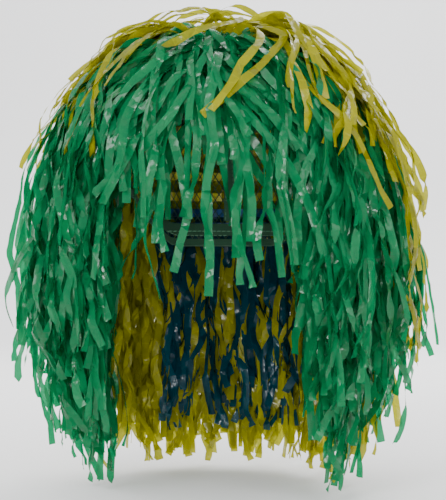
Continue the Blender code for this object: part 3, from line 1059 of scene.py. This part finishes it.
@dataclass
class StripRows:
    """Every row of strips on the cap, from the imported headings."""

    cap: CapForm
    rng: np.random.Generator
    root_lift: float = 0.0012
    fringe_turn: float = 39.0
    fringe_tip: tuple[float, float, float] = (-0.184, -0.110, -0.058)
    fringe_per_metre: float = 680.0
    parted_share: float = 0.66
    short_share: float = 0.40
    yellow_lean: float = 19.0
    lean_from: tuple[float, float] = (-150.0, -104.0)
    lean_layer: float = 0.12
    top_layer: float = 1.08
    lift_spread: float = 0.4
    side_scatter: float = 0.35
    aim_scatter: float = 4.0
    parting: float = 3.0
    parting_spread: float = 15.0
    unruly_share: float = 0.10
    unruly: float = 1.4
    fringe_unruly: float = 0.55
    lifts: tuple[float, float] = (0.62, 0.5)
    plans: dict[str, RowPlan] = field(default_factory=lambda: {
        "header_green_1": RowPlan(Dye.GREEN, 1320.0, (0.45, 0.92), (-0.225, -0.120)),
        "header_green_2": RowPlan(Dye.GREEN, 1020.0, (0.60, 0.98), (-0.245, -0.150)),
        "header_green_3": RowPlan(Dye.GREEN, 960.0, (0.45, 0.90), (-0.265, -0.180)),
        "header_green_4": RowPlan(Dye.GREEN, 960.0, (0.30, 0.75), (-0.295, -0.200)),
        "header_green_left_1": RowPlan(Dye.GREEN, 960.0, (0.15, 0.55), (-0.322, -0.230)),
        "header_green_right_1": RowPlan(Dye.GREEN, 960.0, (0.15, 0.55), (-0.322, -0.230)),
        "header_green_left_2": RowPlan(Dye.GREEN, 960.0, (0.05, 0.40), (-0.330, -0.250)),
        "header_green_right_2": RowPlan(Dye.GREEN, 960.0, (0.05, 0.40), (-0.330, -0.250)),
        "header_yellow_1": RowPlan(Dye.YELLOW, 720.0, (0.80, 1.05), (-0.220, -0.110)),
        "header_yellow_2": RowPlan(Dye.YELLOW, 720.0, (0.65, 1.00), (-0.240, -0.150)),
        "header_yellow_3": RowPlan(Dye.YELLOW, 720.0, (0.50, 0.90), (-0.255, -0.170)),
        "header_yellow_4": RowPlan(Dye.YELLOW, 720.0, (0.35, 0.75), (-0.280, -0.190)),
        "header_yellow_5": RowPlan(Dye.YELLOW, 624.0, (0.20, 0.60), (-0.305, -0.210)),
        "header_yellow_6": RowPlan(Dye.YELLOW, 624.0, (0.10, 0.45), (-0.318, -0.240)),
        "header_yellow_7": RowPlan(Dye.YELLOW, 540.0, (0.06, 0.30), (-0.325, -0.250)),
        "header_yellow_8": RowPlan(Dye.YELLOW, 540.0, (0.04, 0.20), (-0.325, -0.260)),
        "header_blue_1": RowPlan(Dye.BLUE, 500.0, (0.02, 0.12), (-0.300, -0.240)),
        "header_blue_2": RowPlan(Dye.BLUE, 500.0, (0.00, 0.08), (-0.300, -0.240)),
    })

    def heading_line(self, node: str) -> np.ndarray:
        """Read the middle line of a packed heading.

        Args:
            node: Name of the heading's node.

        Returns:
            Points along the heading, from one end to the other.
        """
        points = vertices_of(node)
        turn = turn_of(points)
        if points[:, 1].mean() > 0.0:
            turn = turn % 360.0
        keys = np.round(turn, 1)
        return np.array([points[keys == key].mean(axis=0) for key in np.unique(keys)])

    def along(self, line: np.ndarray, count: int) -> np.ndarray:
        """Spread points evenly but not exactly along a line.

        Args:
            line: Points of the line.
            count: Number of points wanted.

        Returns:
            The spread points.
        """
        places = run_along(line)
        wanted = (np.arange(count) + self.rng.random(count)) / count * places[-1]
        return spread(wanted, places, line)

    def batch(self, roots: np.ndarray, plan: RowPlan, lift: float) -> Starts:
        """Make the starts of strips at given roots.

        Args:
            roots: Points on the heading.
            plan: The row's plan.
            lift: How steeply the strips leave the cap.

        Returns:
            The starts.
        """
        count = len(roots)
        out = self.cap.normal(roots)
        down = unit(-UP + dot(UP, out) * out)
        side = unit(np.cross(UP, out))
        heading = unit(down + out * (lift + self.lift_spread * self.rng.random((count, 1)))
                       + side * self.rng.normal(size=(count, 1)) * self.side_scatter)
        bearing = unit(roots * np.array((1.0, 1.0, 0.0)))
        layer = self.rng.uniform(*plan.layer, size=count)
        tips = self.rng.uniform(*plan.tip_z, size=count)
        turn, edge = np.abs(turn_of(roots)), self.fringe_turn
        aim = turn_of(roots) + self.rng.normal(size=count) * self.aim_scatter
        parted = (turn < edge) & (self.rng.random(count) < self.parted_share)
        beyond = edge + self.parting + self.parting_spread * self.rng.random(count)
        aim = np.where(parted, np.sign(aim) * beyond, aim)
        stays = (turn < edge) & ~parted
        aim = np.where(stays, np.clip(aim, self.parting - edge, edge - self.parting), aim)
        aim = np.where((turn >= edge) & (np.abs(aim) < edge + self.parting),
                       np.sign(aim) * (edge + self.parting), aim)
        if plan.dye is Dye.YELLOW:
            forward = ease(-aim, *self.lean_from) * (aim > 0.0)
            aim = aim - self.yellow_lean * forward
            layer = np.minimum(layer + self.lean_layer * forward, self.top_layer)
        low, middle, high = self.fringe_tip
        short = self.rng.random(count) < self.short_share
        face_tip = np.where(short, self.rng.uniform(middle, high, size=count),
                            self.rng.uniform(low, middle, size=count))
        unruly = np.where(self.rng.random(count) < self.unruly_share, self.unruly, 1.0)
        unruly = np.where(stays, self.fringe_unruly, unruly)
        longest = np.full(count, plan.longest)
        return Starts(roots + out * self.root_lift, heading, bearing, layer, tips, face_tip, longest, unruly, aim,
                      [plan.dye] * count)

    def rows(self) -> Starts:
        """Make the starts of all the sewn rows.

        Returns:
            The starts.
        """
        parts = []
        for node, plan in self.plans.items():
            line = self.heading_line(node)
            roots = self.along(line, round(float(run_along(line)[-1]) * plan.per_metre))
            if plan.dye is Dye.GREEN:
                thin = self.fringe_per_metre / plan.per_metre
                keep = (np.abs(turn_of(roots)) >= self.fringe_turn) | (self.rng.random(len(roots)) < thin)
                roots = roots[keep]
            parts.append(self.batch(roots, plan, self.lifts[node != "header_green_1"]))
            LOG.info("row %s: %d strips", node, len(roots))
        return Starts.joined(parts)


@dataclass
class Whorl:
    """Strips that spread from the coiled heading at the top of the crown."""

    rows: StripRows
    levels: tuple[float, float] = (5.0, 15.0)
    lift: float = 1.3
    rise: tuple[float, float] = (0.3, 1.3)
    crossing_share: float = 0.25
    scatter: float = 24.0
    longest: float = 0.30
    tip_z: tuple[float, float] = (-0.190, -0.02)
    side_turns: tuple[float, float] = (80.0, 130.0)
    side_cut: float = 0.55
    stand_off: float = 0.002

    def starts(self, dye: Dye, count: int, turns: tuple[float, float], layer: tuple[float, float]) -> Starts:
        """Return the starts of one batch of these strips.

        Args:
            dye: Colour of the strips.
            count: Number of strips.
            turns: Part of the coiled heading that they are sewn to, and the way that they fall.
            layer: Lowest and highest layer that they lie in.

        Returns:
            The starts.
        """
        rng = self.rows.rng
        turn = rng.uniform(*turns, size=count)
        roots = self.rows.cap.place(rng.uniform(*self.levels, size=count), turn, self.stand_off)
        starts = self.rows.batch(roots, RowPlan(dye, 0.0, layer, self.tip_z, self.longest), self.lift)
        crossing = rng.random(count) < self.crossing_share
        fall = np.where(crossing, rng.uniform(*turns, size=count), turn + rng.normal(size=count) * self.scatter)
        heading = np.radians(np.clip(fall, *turns) - 90.0)
        starts.bearing = np.stack([np.cos(heading), np.sin(heading), np.zeros(count)], axis=1)
        starts.heading = unit(starts.bearing + UP * rng.uniform(*self.rise, size=(count, 1)) * layer[1])
        starts.aim = np.where(crossing, (np.degrees(heading) + 90.0 + 180.0) % 360.0 - 180.0, starts.aim)
        at_side = 1.0 - ease(np.abs(turn_of(roots)), *self.side_turns)
        starts.tip_z = rng.uniform(*self.tip_z, size=count) * (1.0 - self.side_cut * at_side)
        return starts


@dataclass
class Strays:
    """Yellow strips that lie forward over the green ones, along given lines of the front."""

    cap: CapForm
    fullness: Fullness
    rng: np.random.Generator
    step: float = 0.0042
    root_level: float = 12.0
    arch: float = 0.012
    root_offset: float = 0.002
    passes: int = 6
    ripple_steps: int = 5
    sway: float = 0.0016
    stand_off: float = 0.003
    lift: float = 0.0012
    roll: float = 0.35
    depths: tuple[float, float] = (-0.18, 0.02)
    lines: tuple[tuple[tuple[float, float], ...], ...] = (
        ((0.040, 0.006), (0.028, -0.024), (0.007, -0.056)),
        ((0.053, 0.000), (0.031, -0.032), (0.005, -0.058)),
        ((0.066, -0.002), (0.074, -0.028), (0.083, -0.048)),
        ((0.059, -0.010), (0.066, -0.038), (0.073, -0.068)),
        ((0.071, -0.004), (0.090, -0.030), (0.108, -0.062)),
        ((0.078, -0.002), (0.099, -0.028), (0.119, -0.050)),
        ((0.083, 0.000), (0.112, -0.040), (0.126, -0.085)),
        ((-0.049, 0.000), (-0.073, -0.022), (-0.089, -0.048)),
        ((-0.042, 0.004), (-0.057, -0.012), (-0.070, -0.034)),
        ((0.025, 0.012), (-0.005, 0.006), (-0.027, -0.008)),
        ((0.076, -0.040), (0.105, -0.070), (0.127, -0.120)),
        ((0.110, -0.030), (0.134, -0.075), (0.145, -0.125), (0.148, -0.165)),
        ((0.116, -0.045), (0.140, -0.100), (0.143, -0.150), (0.152, -0.196), (0.150, -0.232)),
        ((0.121, -0.060), (0.143, -0.115), (0.146, -0.142), (0.142, -0.190), (0.150, -0.222)),
        ((0.098, -0.016), (0.126, -0.062), (0.142, -0.104), (0.149, -0.140)),
        ((-0.080, 0.006), (-0.112, -0.026), (-0.130, -0.062)),
    )

    def on_front(self, x: np.ndarray, z: np.ndarray) -> np.ndarray:
        """Find the outermost layer, looking from the front.

        Args:
            x: Places across.
            z: Heights.

        Returns:
            A point of the layer for each pair.
        """
        depth = np.linspace(*self.depths, 200)
        grid = np.stack(np.broadcast_arrays(x[:, None], depth[None, :], z[:, None]), axis=-1)
        inside = self.cap.offset(grid) <= self.fullness.outer(self.cap, grid)
        first = np.where(inside.any(axis=1), inside.argmax(axis=1), depth.size - 1)
        return np.stack([x, depth[first], z], axis=-1)

    def lay(self, template: Strips) -> Strips:
        """Lay the stray strips and add them to the fallen ones.

        Args:
            template: The fallen strips.

        Returns:
            All strips.
        """
        width = template.points.shape[1]
        points = np.zeros((len(self.lines), width, 3))
        faces = np.zeros_like(points)
        reached = np.zeros(len(self.lines), dtype=int)
        for index, line in enumerate(self.lines):
            seen = self.on_front(*np.array(line).T)
            root = self.cap.place(self.root_level, turn_of(seen[0]), self.root_offset)
            rise = (root + seen[0]) / 2.0 + UP * self.arch
            knots = np.vstack([root, rise, seen])
            places = run_along(knots)
            count = min(int(places[-1] / self.step) + 1, width)
            path = spread(np.linspace(0.0, places[-1], count), places, knots)
            for _ in range(self.passes):
                path[1:-1] = (path[:-2] + 2.0 * path[1:-1] + path[2:]) / 4.0
            out = self.cap.normal(path)
            kinks = np.arange(0, count + self.ripple_steps, self.ripple_steps)
            drawn = self.rng.normal(size=count // self.ripple_steps + 2)[:len(kinks)]
            ripple = np.interp(np.arange(count), kinks, drawn)
            side = unit(np.cross(UP, out))
            raised = self.stand_off + ripple * self.lift
            path = path + side * (ripple * self.sway)[:, None] + out * raised[:, None]
            along = unit(np.gradient(path, axis=0))
            flat = unit(out - dot(out, along) * along)
            points[index, :count] = path
            faces[index, :count] = turned(flat, along, ripple * self.roll)
            reached[index] = count
        return Strips(np.concatenate([template.points, points]), np.concatenate([template.faces, faces]),
                      np.concatenate([template.reached, reached]), template.dye + [Dye.YELLOW] * len(self.lines),
                      template.rng)


@dataclass
class FilmHair:
    """All the film strips, cut into pieces by colour and by the zone that they end in."""

    cap: CapForm
    finishes: Finishes
    cutter: StripCutter = field(default_factory=StripCutter)
    seed: int = 20
    fewest: int = 2
    fringe_bend: tuple[float, float] = (0.016, 0.024)
    curtain_bend: tuple[float, float] = (0.042, 0.064)
    crown_batches: tuple[tuple[Dye, int, tuple[float, float], tuple[float, float]], ...] = (
        (Dye.YELLOW, 400, (68.0, 292.0), (0.62, 1.04)),
        (Dye.YELLOW, 60, (56.0, 118.0), (0.66, 0.94)),
        (Dye.YELLOW, 60, (242.0, 304.0), (0.66, 0.94)),
        (Dye.GREEN, 90, (-66.0, 66.0), (0.22, 0.52)),
    )
    covers: dict[tuple[Zone, Dye], tuple[str, ...]] = field(default_factory=lambda: {
        (Zone.CROWN, Dye.YELLOW): ("crown_strips_top",),
        (Zone.FRINGE, Dye.GREEN): ("fringe_strips_lower", "fringe_strips_upper", "crown_strips_front"),
        (Zone.LEFT, Dye.GREEN): ("left_strips_lower", "left_strips_upper", "crown_strips_left"),
        (Zone.RIGHT, Dye.GREEN): ("right_strips_lower", "right_strips_upper", "crown_strips_right"),
        (Zone.BACK_LEFT, Dye.YELLOW): ("back_left_strips_lower", "back_left_strips_upper",
                                       "crown_strips_back_left"),
        (Zone.BACK_RIGHT, Dye.YELLOW): ("back_right_strips_lower", "back_right_strips_upper",
                                        "crown_strips_back_right"),
        (Zone.BACK_LEFT, Dye.BLUE): ("back_left_strips_nape",),
        (Zone.BACK_RIGHT, Dye.BLUE): ("back_right_strips_nape",),
    })

    def build(self) -> None:
        """Let all strips fall, then make and dress each piece."""
        rows = StripRows(self.cap, np.random.default_rng(self.seed))
        whorl = Whorl(rows)
        starts = Starts.joined([rows.rows()] + [whorl.starts(*batch) for batch in self.crown_batches])
        fullness = Fullness()
        strips = Fall(self.cap, fullness).release(starts, self.seed + 1)
        strips = Strays(self.cap, fullness, np.random.default_rng(self.seed + 2)).lay(strips)
        tree = self.cutter.build()
        groups: dict[tuple[Zone, Dye], list[int]] = {}
        for index, key in enumerate(zip(strips.zones(), strips.dye)):
            groups.setdefault(key, []).append(index)
        for (zone, dye), chosen in sorted(groups.items(), key=lambda item: (item[0][0].value, item[0][1].value)):
            if len(chosen) >= self.fewest:
                self.piece(tree, strips, zone, dye, chosen)

    def piece(self, tree: bpy.types.NodeTree, strips: Strips, zone: Zone, dye: Dye, chosen: list[int]) -> None:
        """Make one piece of strips; a crown piece is fixed to the cap.

        Args:
            tree: The strip tree.
            strips: All fallen strips.
            zone: Zone of this piece.
            dye: Colour of this piece.
            chosen: Indices of its strips.
        """
        name = f"{'crown' if zone is Zone.CROWN else zone.value}_film_{dye.value}"
        guides, lengths = strips.guides(name + "_guides", chosen)
        cut = self.cutter
        film = grown_from(tree, guides, name, {
            "Strip Width": cut.width, "Fold Depth": cut.fold, "Crinkle Depth": cut.crinkle,
            "Crinkle Size": cut.crinkle_size, "Seed": cut.seed, "Film": self.finishes.film[dye]})
        self.attach(film, zone)
        for node in self.covers.get((zone, dye), ()):
            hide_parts(node)
        LOG.info("%s: %d strips, %d faces, flat %.2f x %.2f m", name, len(chosen), len(film.data.polygons),
                 cut.width * len(chosen), max(lengths))

    def attach(self, film: bpy.types.Object, zone: Zone) -> None:
        """Let a crown piece ride on the cap, and bake the placement of any other piece into its mesh.

        Args:
            film: The piece.
            zone: Zone that it is in.
        """
        if zone is Zone.CROWN:
            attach(film, zone.value)
            return
        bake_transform(film)


# ---------------------------------------------------------------------------------------------
# The cap


@dataclass
class CapNet:
    """Diamond net of fine yarn over the whole cap, gathered towards the crown."""

    cap: CapForm
    finishes: Finishes
    around: int = 96
    rows: int = 40
    yarn: float = 0.00036
    first_level: float = 6.0
    cut: tuple[float, float] = (0.23, 0.26)
    cut_area: float = 0.037

    def edge_level(self, turn: np.ndarray) -> np.ndarray:
        """Read the level of the net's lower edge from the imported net.

        Args:
            turn: Degrees round from the forehead.

        Returns:
            Degrees down from the crown.
        """
        points = vertices_of("crown_net")
        moved = points - np.array((0.0, 0.0, self.cap.widest_z))
        across = np.hypot(moved[:, 0] / self.cap.half_width, moved[:, 1] / self.cap.half_length)
        levels = np.degrees(np.arctan2(across, moved[:, 2] / self.cap.height))
        turns = np.round(turn_of(points), 0)
        keys = np.unique(turns)
        lowest = np.array([levels[turns == key].max() for key in keys])
        solid = lowest > 50.0
        return np.interp(turn, keys[solid], lowest[solid], period=360.0)

    def build(self) -> bpy.types.Object:
        """Make the net.

        Returns:
            The net's piece.
        """
        points, edges = [], []
        for row in range(self.rows):
            share = row / (self.rows - 1)
            turn = (np.arange(self.around) + 0.5 * (row % 2)) * 360.0 / self.around
            level = self.first_level + (self.edge_level(turn) - self.first_level) * share
            points.append(self.cap.place(level, turn))
            if row:
                here = row * self.around + np.arange(self.around)
                back = (row - 1) * self.around
                step = 0 if row % 2 else -1
                for shift in (0, 1):
                    other = back + (np.arange(self.around) + step + shift) % self.around
                    edges.append(np.stack([here, other], axis=1))
        net = grown_from(Tubing.tree(), line_object("net_lines", points, edges), "cap_net", {
            "Radius": self.yarn, "Sides": 4, "Finish": self.finishes.yarn})
        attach(net, "cap")
        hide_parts("crown_net")
        LOG.info("cap_net: %d faces", len(net.data.polygons))
        return net


class Tubing:
    """Geometry Nodes that sweep a round yarn along plain lines."""

    _tree: bpy.types.NodeTree | None = None

    @classmethod
    def tree(cls) -> bpy.types.NodeTree:
        """Build the tree on first use.

        Returns:
            The geometry node group.
        """
        if cls._tree is None:
            nodes = new_group("Yarn along lines", "GeometryNodeTree",
                              {"Lines": "geometry", "Radius": float, "Sides": int, "Finish": "material"},
                              {"Yarn": "geometry"})
            given = nodes.add("NodeGroupInput").outputs
            curves = nodes.add("GeometryNodeMeshToCurve", {"Mesh": given["Lines"]}).outputs[0]
            ring = nodes.add("GeometryNodeCurvePrimitiveCircle", {"Resolution": given["Sides"],
                                                                  "Radius": given["Radius"]}).outputs[0]
            swept = nodes.add("GeometryNodeCurveToMesh", {"Curve": curves, "Profile Curve": ring,
                                                          "Fill Caps": True}).outputs[0]
            nodes.add("NodeGroupOutput", {"Yarn": nodes.dressed(swept, given["Finish"])})
            cls._tree = nodes.tree
        return cls._tree


@dataclass
class Stitches:
    """Sewing thread that holds the tapes and the edge band to the net."""

    cap: CapForm
    net: CapNet
    finishes: Finishes
    thread: float = 0.00022
    pitch: float = 1.6
    band_levels: tuple[float, float] = (1.1, 3.6)
    dash: float = 0.0026
    dash_pitch: float = 0.0040
    first_dash: float = 0.002
    proud: float = 0.0003
    sides: tuple[float, float] = (0.16, 0.84)
    band_faces: tuple[float, float] = (0.0014, -0.0006)

    def build(self) -> None:
        """Make all the stitches as one piece."""
        points, edges = [], []
        for offset in self.band_faces:
            turn = np.arange(0.0, 360.0, self.pitch)
            down = self.net.edge_level(turn) + np.where(np.arange(len(turn)) % 2, *self.band_levels)
            first = sum(len(part) for part in points)
            points.append(self.cap.place(down, turn, offset))
            run = np.arange(len(turn))
            edges.append(first + np.stack([run, (run + 1) % len(turn)], axis=1))
        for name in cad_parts:
            if name.startswith(("lining_tape", "forehead_tape", "nape_elastic")):
                for line in self.tape_lines(name):
                    first = sum(len(part) for part in points)
                    points.append(line)
                    run = np.arange(0, len(line) - 1, 2)
                    edges.append(first + np.stack([run, run + 1], axis=1))
        sewn = grown_from(Tubing.tree(), line_object("stitch_lines", points, edges), "cap_stitches", {
            "Radius": self.thread, "Sides": 5, "Finish": self.finishes.thread})
        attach(sewn, "cap")
        LOG.info("cap_stitches: %d faces", len(sewn.data.polygons))

    def tape_lines(self, name: str) -> list[np.ndarray]:
        """Return pairs of dash ends along both long edges of a tape's inner face.

        Args:
            name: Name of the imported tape.

        Returns:
            One array of points for each edge.
        """
        points = vertices_of(name)
        inner = points[self.cap.offset(points) < self.cap.offset(points).mean()]
        around = not name.startswith("lining")
        key = np.round(turn_of(inner), 1) if around else np.round(inner[:, 2], 4)
        lines = []
        for side in self.sides:
            middle = []
            for value in np.unique(key):
                pair = inner[key == value]
                order = pair[np.argsort(self.cap.level(pair) if around else pair @ np.array((1.0, 1.0, 0.0)))]
                middle.append(order[0] * (1.0 - side) + order[-1] * side)
            path = np.array(middle)
            path = path - self.cap.normal(path) * self.proud
            runs = run_along(path)
            starts = np.arange(self.first_dash, runs[-1] - self.dash, self.dash_pitch)
            lines.append(spread(np.stack([starts, starts + self.dash], axis=1).ravel(), runs, path))
        return lines


@dataclass
class CapTrim:
    """Finishes of the cap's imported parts: band, tabs, tapes, disc and headings."""

    finishes: Finishes

    def build(self) -> None:
        """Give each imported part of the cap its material."""
        for name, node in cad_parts.items():
            material = self.material_for(name)
            if material is None:
                continue
            node.data.materials.clear()
            node.data.materials.append(material)
            LOG.info("%s: %s", name, material.name)

    def material_for(self, name: str) -> bpy.types.Material | None:
        """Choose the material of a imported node.

        Args:
            name: Name of the node.

        Returns:
            The material, or None where strips or the net replace the node.
        """
        for dye in Dye:
            if name.startswith("header") and dye.value in name or name == f"whorl_header_{dye.value}":
                return self.finishes.heading[dye]
        if name in ("elastic_edge_band", "nape_elastic"):
            return self.finishes.elastic
        if name == "crown_disc":
            return self.finishes.felt
        if name.startswith(("ear_tab", "lining_tape", "forehead_tape")):
            return self.finishes.tape
        return None


# ---------------------------------------------------------------------------------------------
# Studio


@dataclass
class Studio:
    """Pale sweep, soft lights and the camera."""

    floor_gap: float = 0.012
    distance: float = 1.06
    turn: float = 6.0
    lens: float = 99.0
    aim: tuple[float, float, float] = (0.004, 0.0, -0.150)
    front_y: float = -2.2
    half_span: float = 3.0
    back_y: float = 1.6
    bend: float = 0.6
    rise: float = 2.4
    wig: tuple[float, float, float] = (0.0, 0.0, -0.15)
    wall: tuple[float, float, float] = (0.0, 2.2, 0.1)
    surround: tuple[float, float, float, float] = (0.95, 0.96, 0.98, 1.0)
    surround_strength: float = 1.30
    sweep_colour: tuple[float, float, float, float] = (0.80, 0.80, 0.80, 1.0)
    sweep_roughness: float = 0.9

    def build(self) -> None:
        """Build the whole studio."""
        self.sweep()
        self.lights()
        self.camera()

    def sweep(self) -> None:
        """Make the floor that curves up into the backdrop."""
        low = CAD_BOX[0].z - self.floor_gap
        arc = [(self.back_y + self.bend * math.sin(a), low + self.bend * (1.0 - math.cos(a)))
               for a in np.linspace(0.0, math.pi / 2.0, 16)]
        outline = [(self.front_y, low)] + arc + [(self.back_y + self.bend, low + self.rise)]
        mesh_data = bmesh.new()
        rails = [[mesh_data.verts.new((x, y, z)) for y, z in outline] for x in (-self.half_span, self.half_span)]
        for first, second, third, fourth in zip(rails[0], rails[0][1:], rails[1][1:], rails[1]):
            mesh_data.faces.new((fourth, third, second, first))
        mesh = bpy.data.meshes.new("studio_sweep")
        mesh_data.to_mesh(mesh)
        mesh_data.free()
        mesh.shade_smooth()
        material, nodes, output = blank_material("pale_sweep")
        paint = nodes.add("ShaderNodeBsdfPrincipled", {"Base Color": self.sweep_colour,
                                                       "Roughness": self.sweep_roughness})
        nodes.put(output.inputs["Surface"], paint.outputs[0])
        mesh.materials.append(material)
        floor = bpy.data.objects.new("studio_sweep", mesh)
        bpy.context.scene.collection.objects.link(floor)

    def lights(self) -> None:
        """Add the soft lights and a pale surround."""
        for name, place, goal, size, power in (("key", (-0.45, -1.4, 0.60), self.wig, 0.55, 19.0),
                                               ("fill", (0.9, -1.1, 0.25), self.wig, 0.8, 11.0),
                                               ("front", (0.1, -1.6, 0.0), self.wig, 0.30, 11.0),
                                               ("back", (0.5, 1.3, 0.9), self.wig, 0.9, 20.0),
                                               ("left", (-1.2, 0.3, 0.3), self.wig, 0.9, 8.0),
                                               ("wall", (0.0, 0.9, 1.3), self.wall, 1.2, 34.0)):
            data = bpy.data.lights.new(name, "AREA")
            data.size = size
            data.energy = power
            lamp = bpy.data.objects.new(name, data)
            lamp.location = place
            aim = Vector(goal) - Vector(place)
            lamp.rotation_euler = aim.to_track_quat("-Z", "Y").to_euler()
            bpy.context.scene.collection.objects.link(lamp)
        world = bpy.data.worlds.new("surround")
        world.use_nodes = True
        sky = world.node_tree.nodes["Background"].inputs
        sky["Color"].default_value = self.surround
        sky["Strength"].default_value = self.surround_strength
        bpy.context.scene.world = world

    def camera(self) -> None:
        """Place the camera level with the middle of the wig, a little to the wearer's left."""
        data = bpy.data.cameras.new("camera")
        data.lens = self.lens
        camera = bpy.data.objects.new("camera", data)
        angle = math.radians(self.turn)
        back = Vector((math.sin(angle), -math.cos(angle), 0.0))
        camera.location = Vector(self.aim) + back * self.distance
        camera.rotation_euler = (-back).to_track_quat("-Z", "Y").to_euler()
        bpy.context.scene.collection.objects.link(camera)
        bpy.context.scene.camera = camera


def main() -> None:
    """Build the studio and the wig in order."""
    logging.basicConfig(level=logging.INFO, format="%(name)s: %(message)s")
    Studio().build()
    finishes = Finishes()
    cap = CapForm.from_net()
    LOG.info("cap form %s", cap)
    CapTrim(finishes).build()
    net = CapNet(cap, finishes)
    net.build()
    Stitches(cap, net, finishes).build()
    FilmHair(cap, finishes).build()


if __name__ == "__main__":
    main()
